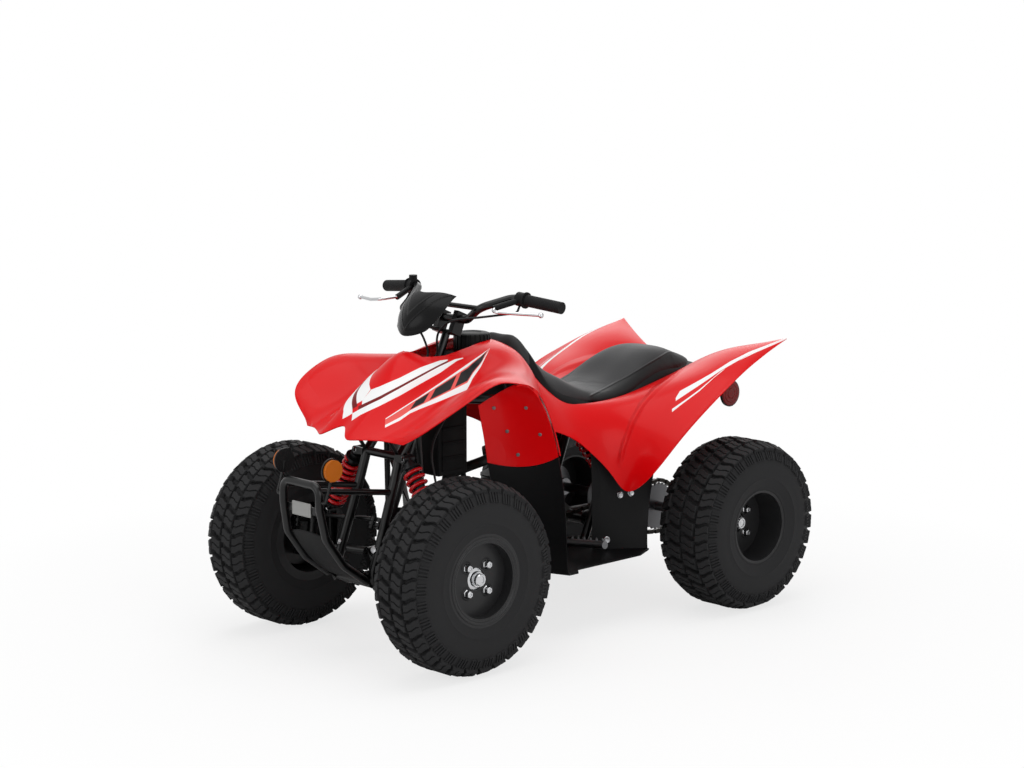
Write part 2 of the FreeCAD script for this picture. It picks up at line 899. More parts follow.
def rim(centre, width, inset):
    half = width / 2
    lip = bead_radius + lip_height
    barrel = bead_radius - rim_wall
    disc = half - inset
    profile = [
        (lip, -half),
        (bead_radius, rim_wall - half),
        (bead_radius, half - rim_wall),
        (lip, half),
        (barrel, half),
        (barrel, disc),
        (disc_hole_radius, disc),
        (disc_hole_radius, disc - rim_wall),
        (barrel, disc - rim_wall),
        (barrel, -half),
    ]
    return turned(profile, centre)


def wheel_nuts(centre, face):
    nuts = []
    for index in range(studs_per_wheel):
        angle = math.radians(full_turn * (index + half_share) / studs_per_wheel)
        across = stud_circle_radius * math.cos(angle)
        up = stud_circle_radius * math.sin(angle)
        base = vec(centre.x + across, centre.y + face, centre.z + up)
        nuts.append(hex_nut(base, along_y, nut_radius, nut_height))
    return nuts


def hex_nut(base, direction, radius, height):
    side = toward(origin, direction.cross(vec(direction.z, direction.x, direction.y)))
    other = direction.cross(side)
    corners = []
    for index in range(nut_sides):
        angle = math.radians(full_turn * index / nut_sides)
        corner = moved(base, side, radius * math.cos(angle))
        corners.append(moved(corner, other, radius * math.sin(angle)))
    return plate(corners, height, direction)


def front_hub():
    face = front_rim_width / 2 - front_disc_inset
    back = face - rim_wall
    seat = back - hub_flange_thickness
    profile = [
        (spindle_radius + bearing_clearance, seat - drum_depth),
        (drum_radius, seat - drum_depth),
        (drum_radius, seat),
        (hub_flange_radius, seat),
        (hub_flange_radius, back),
        (disc_hole_radius - bead_clearance, back),
        (centre_nut_radius, face),
        (centre_nut_radius, face + centre_nut_height),
        (0, face + centre_nut_height),
        (0, face + spindle_reach),
        (spindle_radius + bearing_clearance, face + spindle_reach),
    ]
    body = turned(profile, left_wheel)
    return Part.makeCompound([body] + wheel_nuts(left_wheel, face))


def front_wheels():
    left_tyre = tyre(left_wheel, front_tyre_radius, front_tyre_width, front_rim_width)
    left_rim = rim(left_wheel, front_rim_width, front_disc_inset)
    hub = front_hub()
    save(left_tyre, "tyre_front_left")
    save(left_to_right(left_tyre), "tyre_front_right")
    save(left_rim, "rim_front_left")
    save(left_to_right(left_rim), "rim_front_right")
    save(hub, "hub_front_left")
    save(left_to_right(hub), "hub_front_right")


# Steering knuckle: a fork round the kingpin sleeve, with the spindle, backing plate and steering arm
def steer_arm_end(root, ahead, spread):
    return moved(moved(root, ahead, steering_arm_length), along_y, spread)


def steering_arm(root, tip, up, hole):
    across = toward(origin, up.cross(toward(root, tip)))
    corners = [
        moved(root, across, arm_half_width),
        moved(tip, across, arm_half_width),
        moved(tip, across, -arm_half_width),
        moved(root, across, -arm_half_width),
    ]
    bar = plate(corners, arm_thickness, up)
    eye = rod(tip, moved(tip, up, arm_thickness), arm_half_width)
    arm = joined([bar, eye])
    return arm.cut(rod(moved(tip, up, -cut_overrun), moved(tip, up, cut_overrun), hole))


def knuckle():
    half = kingpin_sleeve_length / 2
    centre = kingpin_centre
    ears = []
    plate_y = left_wheel.y + plate_inner_face()
    for sign in (-1, 1):
        base = moved(centre, kingpin_up, sign * (half + thrust_gap))
        top = moved(base, kingpin_up, sign * ear_thickness)
        ears.append(rod(base, top, ear_radius))
        reach = plate_y - centre.y
        corners = []
        flat = ((-ear_radius, 0), (ear_radius, 0), (ear_radius, reach), (-ear_radius, reach))
        for across, out in flat:
            corners.append(moved(moved(base, kingpin_ahead, across), along_y, out))
        ears.append(plate(corners, ear_thickness, moved(origin, kingpin_up, sign)))
    pin_low = moved(centre, kingpin_up, -half - thrust_gap - ear_thickness - bolt_head)
    pin_high = moved(centre, kingpin_up, half + thrust_gap + ear_thickness + bolt_head)
    pin = rod(pin_low, pin_high, kingpin_radius)
    hub_line = vec(centre.x, plate_y - backing_plate_thickness, centre.z)
    upright_inner = vec(centre.x, plate_y - backing_plate_thickness - ear_thickness, centre.z)
    upright = rod(upright_inner, hub_line, half + ear_thickness)
    upright = upright.common(upright_block(centre, half, plate_y))
    backing = rod(hub_line, vec(centre.x, plate_y, centre.z), backing_plate_radius)
    spindle_end = left_wheel.y + front_rim_width / 2 - front_disc_inset + spindle_reach - thrust_gap
    spindle = rod(hub_line, vec(centre.x, spindle_end, centre.z), spindle_radius)
    arm_root = moved(moved(centre, kingpin_up, half + thrust_gap), kingpin_ahead, 0)
    arm = steering_arm(arm_root, knuckle_arm_tip(), kingpin_up, rod_pin_radius + rod_pin_clearance)
    return joined(ears + [pin, upright, backing, spindle, arm])


def plate_inner_face():
    face = front_rim_width / 2 - front_disc_inset
    return face - rim_wall - hub_flange_thickness - drum_depth - running_gap


def upright_block(centre, half, plate_y):
    length = 2 * (half + thrust_gap + ear_thickness)
    corner = vec(centre.x - ear_radius * upright_share, centre.y, centre.z - length / 2)
    return Part.makeBox(2 * ear_radius * upright_share, plate_y - centre.y, length, corner)


def knuckle_arm_tip():
    root = moved(kingpin_centre, kingpin_up, kingpin_sleeve_length / 2 + thrust_gap)
    return steer_arm_end(root, kingpin_ahead, pitman_spread / 2)


def pitman_arm_tip():
    root = moved(steering_lower, steering_up, pitman_rise)
    return steer_arm_end(root, steering_ahead, pitman_spread / 2)


def steering_column():
    shaft = rod(steering_lower, moved(clamp_base(), steering_up, -seat_gap), steering_shaft_radius)
    root = moved(steering_lower, steering_up, pitman_rise)
    tip = pitman_arm_tip()
    arms = []
    for end in (tip, flipped(tip)):
        arms.append(steering_arm(root, end, steering_up, rod_pin_radius + rod_pin_fit))
    hub = rod(root, moved(root, steering_up, arm_thickness), steering_shaft_radius + arm_half_width)
    return joined([shaft, hub] + arms)


# A tie rod turns on its pin at the pitman arm and hangs its outer pin through the knuckle arm
def rod_end(tip, up, gap):
    base = moved(tip, up, arm_thickness + gap)
    eye = rod(base, moved(base, up, rod_end_height), rod_end_radius)
    low = moved(tip, up, -gap)
    pin = rod(low, base, rod_pin_radius)
    nut = rod(moved(low, up, -rod_nut_height), low, rod_nut_radius)
    return [eye, pin, nut]


def rod_line_point(tip, up, gap):
    return moved(tip, up, arm_thickness + gap + rod_end_height / 2)


def tie_rod():
    inner = pitman_arm_tip()
    outer = knuckle_arm_tip()
    start = rod_line_point(inner, steering_up, inner_rod_end_gap)
    end = rod_line_point(outer, kingpin_up, rod_end_gap)
    ends = rod_end(inner, steering_up, inner_rod_end_gap)
    ends += rod_end(outer, kingpin_up, rod_end_gap)
    return joined([rod(start, end, rod_radius)] + ends)


def steering_gear():
    rod_left = tie_rod()
    left = knuckle()
    save(left, "knuckle_left")
    save(left_to_right(left), "knuckle_right")
    save(rod_left, "tie_rod_left")
    save(left_to_right(rod_left), "tie_rod_right")
    save(steering_column(), "steering_shaft")


# Frame: two side loops of bent tube, cross tubes, the shock tower and the steering bearings
def frame():
    upper = [at(point) for point in reversed(upper_rail_shares)]
    lower = [at(point) for point in lower_rail_shares]
    side = [bent_tube(upper + lower, frame_tube_radius, tube_bend)]
    for start, end in strut_shares:
        side.append(rod(at(start), at(end), stay_radius))
    side += arm_ears() + shock_ears() + seat_pads() + panel_posts()
    side += [bumper_tab(), bent_tube([at(point) for point in outrigger_shares], peg_radius, tube_bend)]
    cross = []
    for point in cross_tube_shares:
        place = at(point)
        cross.append(rod(flipped(place), place, cross_tube_radius))
    mirrored = [left_to_right(shape) for shape in side]
    middle = bearing_mounts() + rear_shock_ears() + [swingarm_bolt()]
    whole = joined(side + mirrored + cross + middle)
    return whole.cut(shaft_bores())


def pin_ears(centre, direction, half_length, foot, foot_half):
    shapes = []
    foot_half = foot_half * foot_share
    across = toward(origin, direction.cross(foot.sub(centre)))
    for sign in (-1, 1):
        start = moved(centre, direction, sign * (half_length + seat_gap))
        shapes.append(rod(start, moved(start, direction, sign * ear_sheet), shock_eye_radius))
        foot_start = moved(foot, direction, start.sub(centre).dot(direction))
        corners = [
            moved(start, across, shock_eye_radius),
            moved(start, across, -shock_eye_radius),
            moved(foot_start, across, -foot_half),
            moved(foot_start, across, foot_half),
        ]
        shapes.append(plate(corners, sign * ear_sheet, direction))
    reach = half_length + seat_gap + ear_sheet + bolt_head
    shapes.append(rod(moved(centre, direction, -reach), moved(centre, direction, reach), bolt_radius))
    return shapes


def arm_ears():
    shapes = []
    for pivot, rail in zip(arm_pivot_shares, pivot_rail_shares):
        shapes += pin_ears(at(pivot), along_x, bushing_length / 2, at(rail), frame_tube_radius)
    return shapes


def shock_ears():
    top = at(front_shock_upper_shares)
    tube = at(cross_tube_shares[0])
    return pin_ears(top, along_x, shock_eye_length / 2, tube, cross_tube_radius)


def rear_shock_ears():
    top = at(rear_shock_upper_shares)
    tube = at(cross_tube_shares[5])
    return pin_ears(top, along_y, shock_eye_length / 2, vec(tube.x, 0, tube.z), cross_tube_radius)


def swingarm_bolt():
    pivot = at(swingarm_pivot_shares)
    near_end = vec(pivot.x, pivot_bolt_half, pivot.z)
    return rod(vec(pivot.x, -pivot_bolt_half, pivot.z), near_end, pivot_bolt_radius)


def seat_pads():
    pads = []
    for row, base in zip((4, 8), seat_pad_shares):
        foot = at(base)
        before, here, after = [seat_bottom(seat_shares[row + step], foot.y) for step in (-1, 0, 1)]
        lift = toward(after, before).cross(along_y)
        lift = upward(lift)
        contact = moved(here, lift, -seat_gap)
        pads.append(rod(moved(contact, lift, foot.z - contact.z), contact, seat_pad_radius))
    return pads


def seat_bottom(row, y):
    return vec(row[0] * wheelbase, y, row[2] * seat_height)


def bumper_tab():
    side = at(bumper_shares[0]).y - bumper_tube_radius - seat_gap - ear_sheet
    outline = [at(point) for point in bumper_tab_shares]
    return plate([vec(point.x, side, point.z) for point in outline], ear_sheet, along_y)


# Posts stand square on the inner skin of a panel and join it to a tube
def post(surface_point, rail):
    place, normal = surface_point
    contact = moved(place, normal, -panel_wall - panel_gap)
    foot = moved(contact, normal, -post_length)
    return [rod(foot, contact, post_radius), rod(foot, at(rail), post_radius)]


def panel_posts():
    shapes = []
    hood_places = grid_point(hood_shares, 6, 2, True), grid_point(hood_shares, 1, 2, True)
    side_places = grid_point(side_shares, 4, 0, False), grid_point(side_shares, 7, 0, False)
    tail_places = (grid_point(tail_shares, 1, 1, True),)
    for place, rail in zip(hood_places + side_places + tail_places, frame_post_shares):
        shapes += post(place, rail)
    return shapes


def bearing_mounts():
    mounts = []
    for place in (lower_bearing_share, upper_bearing_share):
        centre = moved(steering_lower, steering_up, place * steering_length())
        low = moved(centre, steering_up, -bearing_length / 2)
        high = moved(centre, steering_up, bearing_length / 2)
        mounts.append(rod(low, high, steering_shaft_radius + bearing_wall))
    for table in (lower_bearing_tube_shares, upper_bearing_tube_shares):
        side, middle = [at(point) for point in table]
        mounts.append(rod(side, middle, stay_radius))
        mounts.append(rod(flipped(side), middle, stay_radius))
    return mounts


def shaft_bores():
    low = moved(steering_lower, steering_up, -cut_overrun)
    high = moved(steering_upper, steering_up, cut_overrun)
    return rod(low, high, steering_shaft_radius + bearing_clearance)


def steering_length():
    return steering_upper.sub(steering_lower).Length


def bumper():
    hoop = [at(point) for point in bumper_shares]
    path = hoop + [flipped(point) for point in reversed(hoop)]
    loop = bent_tube(path, bumper_tube_radius, tube_bend)
    front, rear = [at(point) for point in bumper_stay_shares]
    high, low = at(lower_rail_shares[0]), at(lower_rail_shares[1])
    share = (high.z - rear.z) / (high.z - low.z)
    rear = moved(high, toward(high, low), share * low.sub(high).Length)
    stay = rod(front, rear, stay_radius).cut(rod(high, low, frame_tube_radius + seat_gap))
    return joined([loop, stay, left_to_right(stay)])


def skid_plate():
    half = bumper_shares[3][1] - (bumper_tube_radius + panel_gap) / body_half_width
    rows = [[(x, y * half, z) for x, y, z in row] for row in skid_shares]
    return panel(rows, skid_wall, True)


# Suspension arms: a triangle of tubes from two frame bushings to the kingpin sleeve
def arm_point(index, share):
    pivot = at(arm_pivot_shares[index])
    outer = moved(kingpin_centre, kingpin_up, -kingpin_sleeve_length / 2 * arm_joint_share)
    return moved(pivot, toward(pivot, outer), share * outer.sub(pivot).Length)


def front_arm():
    half = kingpin_sleeve_length / 2
    low = moved(kingpin_centre, kingpin_up, -half)
    high = moved(kingpin_centre, kingpin_up, half)
    shapes = [rod(low, high, kingpin_sleeve_radius)]
    below = moved(low, kingpin_up, -cut_overrun)
    above = moved(high, kingpin_up, cut_overrun)
    bores = [rod(below, above, kingpin_radius + bearing_clearance)]
    for index, place in enumerate(arm_pivot_shares):
        pivot = at(place)
        rear = moved(pivot, along_x, -bushing_length / 2)
        shapes.append(rod(rear, moved(pivot, along_x, bushing_length / 2), bushing_radius))
        shapes.append(rod(pivot, arm_point(index, 1), arm_tube_radius))
        start = moved(pivot, along_x, -bushing_length)
        bores.append(rod(start, moved(pivot, along_x, bushing_length), bolt_radius + bearing_clearance))
    shapes.append(rod(arm_point(0, arm_brace_share), arm_point(1, arm_brace_share), stay_radius))
    lower = at(front_shock_lower_shares)
    shapes += pin_ears(lower, along_x, shock_eye_length / 2, at(shock_bracket_shares), shock_eye_radius)
    whole = joined(shapes)
    for bore in bores:
        whole = whole.cut(bore)
    return whole


# Shock absorber: damper body and rod between two eyes, and a coil spring between two seats
def damper(top, bottom, eye_axis):
    down = toward(top, bottom)
    length = bottom.sub(top).Length
    shapes = []
    for place in (top, bottom):
        start = moved(place, eye_axis, -shock_eye_length / 2)
        shapes.append(rod(start, moved(place, eye_axis, shock_eye_length / 2), shock_eye_radius))
    body_end = moved(top, down, length * damper_body_share)
    shapes.append(rod(top, body_end, shock_eye_length / 2))
    shapes.append(rod(moved(top, down, shock_eye_radius * body_start_share), body_end, damper_body_radius))
    shapes.append(rod(body_end, bottom, damper_rod_radius))
    for place in (spring_top(top, bottom), spring_bottom(top, bottom)):
        outward = spring_seat_thickness if place.sub(top).Length > length / 2 else -spring_seat_thickness
        shapes.append(rod(place, moved(place, down, outward), spring_seat_radius))
    whole = joined(shapes)
    for place in (top, bottom):
        start = moved(place, eye_axis, -shock_eye_length)
        whole = whole.cut(rod(start, moved(place, eye_axis, shock_eye_length), bolt_radius + bearing_clearance))
    return whole


def spring_top(top, bottom):
    return moved(top, toward(top, bottom), spring_start_share * bottom.sub(top).Length)


def spring_bottom(top, bottom):
    return moved(top, toward(top, bottom), spring_end_share * bottom.sub(top).Length)


def coil_spring(top, bottom, turns):
    start = spring_top(top, bottom)
    end = spring_bottom(top, bottom)
    length = end.sub(start).Length - 2 * (spring_wire_radius + seat_gap)
    helix = Part.makeHelix(length / turns, length, spring_radius)
    helix.translate(vec(0, 0, spring_wire_radius + seat_gap))
    lift = spring_wire_radius + seat_gap
    corners = []
    for across, up in ((1, 0), (0, 1), (-1, 0), (0, -1)):
        corners.append(vec(spring_radius + across * spring_wire_radius, 0, lift + up * spring_wire_radius))
    section = Part.makePolygon(corners + [corners[0]])
    coil = Part.Wire(helix.Edges).makePipeShell([section], True, True)
    turn = FreeCAD.Rotation(along_z, toward(start, end))
    coil.Placement = FreeCAD.Placement(start, turn)
    return coil


def shocks():
    top = at(front_shock_upper_shares)
    bottom = at(front_shock_lower_shares)
    rear_top = at(rear_shock_upper_shares)
    rear_bottom = at(rear_shock_lower_shares)
    front = damper(top, bottom, along_x)
    rear = damper(rear_top, rear_bottom, along_y)
    save(Part.makeCompound([front, left_to_right(front), rear]), "dampers")
    coil = coil_spring(top, bottom, spring_turns)
    rear_coil = coil_spring(rear_top, rear_bottom, spring_turns)
    save(Part.makeCompound([coil, left_to_right(coil), rear_coil]), "springs")


# Swingarm: pivot tube, two legs and the axle carrier, with ears for the rear shock
def swingarm():
    pivot = at(swingarm_pivot_shares)
    half = moved(origin, along_y, swingarm_pivot_half)
    front = rod(pivot.sub(half), pivot.add(half), swingarm_pivot_radius)
    half = moved(origin, along_y, axle_carrier_half)
    carrier = rod(rear_axle_centre.sub(half), rear_axle_centre.add(half), axle_carrier_radius)
    leg_side = axle_carrier_half - swingarm_tube_radius
    shapes = [front, carrier]
    for side in (-leg_side, leg_side):
        start = vec(pivot.x, side, pivot.z)
        end = vec(rear_axle_centre.x, side, rear_axle_centre.z)
        shapes.append(rod(start, end, swingarm_tube_radius))
    lower = at(rear_shock_lower_shares)
    share = (pivot.x - lower.x) / (pivot.x - rear_axle_centre.x)
    foot = vec(lower.x, 0, pivot.z + share * (rear_axle_centre.z - pivot.z))
    shapes += pin_ears(lower, along_y, shock_eye_length / 2, foot, shock_eye_radius)
    half = moved(origin, along_y, leg_side)
    shapes.append(rod(foot.sub(half), foot.add(half), cross_tube_radius))
    whole = joined(shapes)
    reach = moved(origin, along_y, pivot_bolt_half)
    whole = whole.cut(rod(pivot.sub(reach), pivot.add(reach), pivot_bolt_radius + seat_gap))
    reach = rear_axle_centre.add(reach), rear_axle_centre.sub(reach)
    return whole.cut(rod(reach[0], reach[1], axle_radius + bearing_clearance))


# Rear axle: shaft, hub flanges, driven sprocket and brake drum in one turning group
def rear_axle():
    face = rear_rim_width / 2 - rear_disc_inset
    back = face - rim_wall
    flange = back - hub_flange_thickness
    centre = vec(rear_axle_centre.x, rear_half_track, rear_axle_centre.z)
    half = rear_half_track + face + hub_neck
    shapes = [rod(vec(centre.x, -half, centre.z), vec(centre.x, half, centre.z), axle_radius)]
    hub = turned(
        [
            (0, flange - hub_depth),
            (hub_boss_radius, flange - hub_depth),
            (hub_boss_radius, flange),
            (hub_flange_radius, flange),
            (hub_flange_radius, back),
            (disc_hole_radius - bead_clearance, back),
            (centre_nut_radius, face + hub_neck),
            (0, face + hub_neck),
        ],
        centre,
    )
    shapes += [hub, left_to_right(hub)]
    drum_start = vec(centre.x, -rear_drum_side, centre.z)
    shapes.append(rod(drum_start, moved(drum_start, along_y, -rear_drum_width), rear_drum_radius))
    shapes.append(sprocket())
    axle = joined(shapes)
    nuts = wheel_nuts(centre, face)
    return Part.makeCompound([axle] + nuts + [left_to_right(nut) for nut in nuts])


def sprocket():
    points = []
    root = sprocket_radius - sprocket_tooth
    for index in range(sprocket_teeth):
        for radius, share in ((root, 0), (sprocket_radius, tooth_tip_share)):
            angle = math.radians(full_turn * (index + share) / sprocket_teeth)
            across = radius * math.cos(angle)
            up = radius * math.sin(angle)
            inner_face = chain_side - sprocket_thickness / 2
            points.append(vec(rear_axle_centre.x + across, inner_face, rear_axle_centre.z + up))
    return plate(points, sprocket_thickness, along_y)


# Chain: a closed inner run round both sprockets with the outer link plates fused on a link apart
def chain():
    rear = vec(rear_axle_centre.x, chain_side, rear_axle_centre.z)
    front = at(drive_sprocket_shares)
    front = vec(front.x, chain_side, front.z)
    rear_radius = sprocket_radius + sprocket_gap + link_height / 2
    front_radius = drive_sprocket_radius + sprocket_gap + link_height / 2
    half = inner_link_height / 2
    depth = vec(0, inner_chain_width, 0)
    outer = chain_band(rear, rear_radius + half, front, front_radius + half).extrude(depth)
    inner = chain_band(rear, rear_radius - half, front, front_radius - half).extrude(depth)
    run = outer.cut(inner)
    run.translate(vec(0, -inner_chain_width / 2, 0))
    line = chain_band(rear, rear_radius, front, front_radius).OuterWire
    count = round(line.Length / (2 * chain_pitch))
    return joined([run] + chain_links(line, count))


def chain_links(line, count):
    points = line.discretize(Number=2 * count + 1)
    links = []
    for start, end in zip(points[:-1:2], points[1::2]):
        ahead = toward(start, end)
        up = ahead.cross(along_y)
        corners = []
        for reach, height in ((-1, -1), (1, -1), (1, 1), (-1, 1)):
            base = moved(start if reach < 0 else end, ahead, reach * link_overrun)
            corners.append(moved(moved(base, up, height * link_height / 2), along_y, -chain_width / 2))
        links.append(plate(corners, chain_width, along_y))
    return links


def chain_band(rear, rear_radius, front, front_radius):
    ahead = toward(rear, front)
    distance = front.sub(rear).Length
    lean = math.asin((rear_radius - front_radius) / distance)
    up = ahead.cross(along_y)
    points = []
    for centre, radius in ((rear, rear_radius), (front, front_radius)):
        for sign in (1, -1):
            place = moved(centre, ahead, radius * math.sin(lean))
            points.append(moved(place, up, sign * radius * math.cos(lean)))
    rear_top, rear_low, front_top, front_low = points
    rear_back = moved(rear, ahead, -rear_radius)
    front_nose = moved(front, ahead, front_radius)
    edges = [
        Part.LineSegment(rear_top, front_top).toShape(),
        Part.Arc(front_top, front_nose, front_low).toShape(),
        Part.LineSegment(front_low, rear_low).toShape(),
        Part.Arc(rear_low, rear_back, rear_top).toShape(),
    ]
    return Part.Face(Part.Wire(edges))


def rear_wheels():
    centre = vec(rear_axle_centre.x, rear_half_track, rear_axle_centre.z)
    left_tyre = tyre(centre, rear_tyre_radius, rear_tyre_width, rear_rim_width)
    left_rim = rim(centre, rear_rim_width, rear_disc_inset)
    save(both_sides(left_tyre), "rear_tyres")
    save(both_sides(left_rim), "rear_rims")
    save(rear_axle(), "rear_axle")


# Engine: rounded crankcase with turned side covers, a leaning finned barrel and its head
def barrel_axis():
    return toward(at(barrel_base_shares), at(barrel_top_shares))


def case_outline():
    base = at(barrel_base_shares)
    ahead = along_y.cross(barrel_axis())
    deck = [moved(base, ahead, -deck_half), moved(base, ahead, deck_half)]
    return [at(point) for point in case_shares] + deck


def crankcase():
    low = [moved(point, along_y, -case_half_width) for point in case_outline()]
    shapes = [plate(low, 2 * case_half_width, along_y)]
    for sign, place in ((1, at(left_cover_shares)), (-1, at(right_cover_shares))):
        start = vec(place.x, sign * case_half_width, place.z)
        profile = [
            (0, -side_cover_round),
            (side_cover_radius, -side_cover_round),
            (side_cover_radius, side_cover_depth - side_cover_round),
            (side_cover_radius - side_cover_round, side_cover_depth),
            (0, side_cover_depth),
        ]
        shapes.append(turned([(r, sign * y) for r, y in profile], start))
    output = at(drive_sprocket_shares)
    shapes.append(rod(output, vec(output.x, chain_side, output.z), peg_radius))
    boss_start = vec(output.x, chain_side - sprocket_thickness / 2, output.z)
    shapes.append(rod(boss_start, moved(boss_start, along_y, sprocket_thickness), drive_sprocket_radius))
    reach = cross_tube_radius + seat_gap
    front, rear = at(cross_tube_shares[3]), at(cross_tube_shares[4])
    corner = vec(front.x - reach - lug_length, -lug_half_width, front.z - lug_half_height)
    shapes.append(Part.makeBox(lug_length, 2 * lug_half_width, 2 * lug_half_height, corner))
    corner = vec(rear.x - lug_half_height, -lug_half_width, rear.z + reach)
    shapes.append(Part.makeBox(2 * lug_half_height, 2 * lug_half_width, lug_length, corner))
    return joined(shapes)


def cylinder():
    up = barrel_axis()
    base = moved(at(barrel_base_shares), up, seat_gap)
    top = at(barrel_top_shares)
    ahead = along_y.cross(up)
    shapes = [rod(base, top, barrel_radius)]
    for index in range(fin_count):
        level = moved(base, up, fin_start + index * fin_pitch)
        fin = rounded_square(level, ahead, fin_half, fin_corner, fin_thickness, up)
        shapes.append(fin)
    shapes.append(rounded_square(top, ahead, head_half, fin_corner, head_height, up))
    return joined(shapes)


def rounded_square(centre, ahead, half, corner, thickness, up):
    points = []
    flat = half - corner
    for across, out in ((half, -flat), (half, flat), (flat, half), (-flat, half)):
        points.append(moved(moved(centre, ahead, across), along_y, out))
    for across, out in ((-half, flat), (-half, -flat), (-flat, -half), (flat, -half)):
        points.append(moved(moved(centre, ahead, across), along_y, out))
    return plate(points, thickness, up)


def head_port(sign):
    up = barrel_axis()
    ahead = along_y.cross(up)
    middle = moved(at(barrel_top_shares), up, head_height / 2)
    return moved(middle, ahead, sign * (head_half + seat_gap)), moved(origin, ahead, sign)


def exhaust():
    start, ahead = head_port(1)
    path = [start, moved(start, ahead, 2 * exhaust_radius)] + [at(point) for point in exhaust_shares]
    pipe = bent_tube(path, exhaust_radius, tube_bend)
    front = at(muffler_start_shares)
    end = at(muffler_end_shares)
    body = rod(front, end, muffler_radius)
    tail = rod(end, moved(end, toward(front, end), muffler_tail), exhaust_radius)
    return joined([pipe, body, tail])


def carburettor():
    start, back = head_port(-1)
    body = rod(start, moved(start, back, carburettor_length), carburettor_radius)
    bowl_top = moved(start, back, carburettor_length * bowl_share)
    bowl = rod(bowl_top, moved(bowl_top, along_z, -bowl_depth), carburettor_radius)
    return joined([body, bowl])


# Body panels
def hood():
    whole = panel(hood_shares, panel_wall, True)
    left = [at(point) for point in hood_opening_shares]
    right = [flipped(point) for point in reversed(left[1:-1])]
    opening = plate(left + right, 2 * seat_height, along_z)
    return whole.cut(opening)


def seat():
    wires = [seat_section(share) for share in seat_shares]
    return Part.makeLoft(wires, True, False)


def seat_section(shares):
    station, half, bottom, top, side = shares
    x = station * wheelbase
    y = half * body_half_width
    low = bottom * seat_height
    high = top * seat_height
    edge = side * seat_height
    shoulder = y * seat_shoulder_share
    near_top = edge + (high - edge) * seat_crown_share
    points = [vec(x, -y, low), vec(x, -y, edge), vec(x, -shoulder, near_top), vec(x, 0, high)]
    points += [flipped(point) for point in reversed(points[:-1])]
    arch = Part.BSplineCurve()
    arch.interpolate(points)
    floor = Part.LineSegment(points[-1], points[0])
    return Part.Wire([arch.toShape(), floor.toShape()])


def fuel_tank():
    front, rear = at(upper_rail_shares[2]), at(upper_rail_shares[3])
    slope = toward(vec(rear.x, 0, rear.z), vec(front.x, 0, front.z))
    lift = slope.cross(along_y)
    rest = moved(vec(rear.x, 0, rear.z), lift, frame_tube_radius + seat_gap)
    outline = [at(point) for point in tank_shares]
    for reach in (outline[-1].x - rest.x, outline[0].x - rest.x):
        outline.append(moved(rest, slope, reach))
    outline = [moved(point, along_y, -tank_half_width) for point in outline]
    return plate(outline, 2 * tank_half_width, along_y)


def fuel_cap():
    base = at(cap_shares)
    base.z = at(tank_shares[3]).z + seat_gap
    shoulder = cap_height - cap_round
    profile = [(0, 0), (cap_radius, 0), (cap_radius, shoulder)]
    profile += [(cap_radius - cap_round, cap_height), (0, cap_height)]
    points = [vec(base.x + r, 0, base.z + z) for r, z in profile]
    face = Part.Face(Part.makePolygon(points + [points[0]]))
    return face.revolve(base, along_z, full_turn)


# Footwell moulding: a tray on the lower rail, the heel guard wall and the flap behind the front wheel
def footwell():
    floor_z = at(lower_rail_shares[4]).z + frame_tube_radius + seat_gap
    outline = [at(point) for point in floor_shares]
    tray = plate([vec(point.x, point.y, floor_z) for point in outline], floor_thickness, along_z)
    tray = tray.cut(bent_tube([at(point) for point in outrigger_shares], peg_radius + seat_gap, tube_bend))
    wall = panel(guard_shares, flap_wall)
    top = [lowered(point) for point in mudguard_rows()[-1]]
    rows = [top]
    for edge, row in zip(flap_edge_shares, mudflap_shares):
        rows.append([edge] + list(row))
    return joined([tray, wall, panel(rows, flap_wall)])


def lowered(point):
    return (point[0], point[1], point[2] - flap_gap / seat_height)


# The mudguard starts just inside the front fender's outer edge
def mudguard_rows():
    rows = []
    for index, row in zip(range(5, len(hood_shares)), mudguard_shares):
        place, normal = grid_point(hood_shares, index, 5, True)
        edge = moved(place, normal, -panel_wall - edge_gap)
        edge_shares = (edge.x / wheelbase, edge.y / body_half_width, edge.z / seat_height)
        rows.append([edge_shares] + list(row))
    return rows


def footpeg():
    tip = at(peg_tip_shares)
    root = at(outrigger_shares[-1])
    root = moved(root, toward(root, tip), seat_gap)
    bar = rod(root, tip, peg_radius)
    teeth = []
    width = toward(root, tip)
    for index in range(peg_teeth):
        place = moved(root, width, tip.sub(root).Length * (index + half_share) / peg_teeth)
        low = moved(place, along_x, -peg_tooth)
        corners = [low, moved(place, along_z, peg_radius + peg_tooth), moved(place, along_x, peg_tooth)]
        teeth.append(plate(corners, peg_plate_thickness, width))
    return joined([bar] + teeth)


def pedals():
    shift = [at(point) for point in shift_pedal_shares]
    shift[0].y = case_half_width + side_cover_depth + seat_gap
    brake = [at(point) for point in brake_pedal_shares]
    brake[0].z = at(lower_rail_shares[4]).z + frame_tube_radius + panel_gap
    left = bent_tube(shift, pedal_radius, lever_bend)
    right = bent_tube(brake, pedal_radius, lever_bend)
    return Part.makeCompound([left, left_to_right(right)])


# Handlebar and what it carries
def handlebar():
    left = [at(point) for point in bar_shares[:-1]]
    path = left + [flipped(point) for point in reversed(left)]
    bar = bent_tube(path, bar_radius, bar_bend)
    cross = at(crossbar_shares)
    brace = rod(flipped(cross), cross, crossbar_radius)
    return joined([bar, brace])


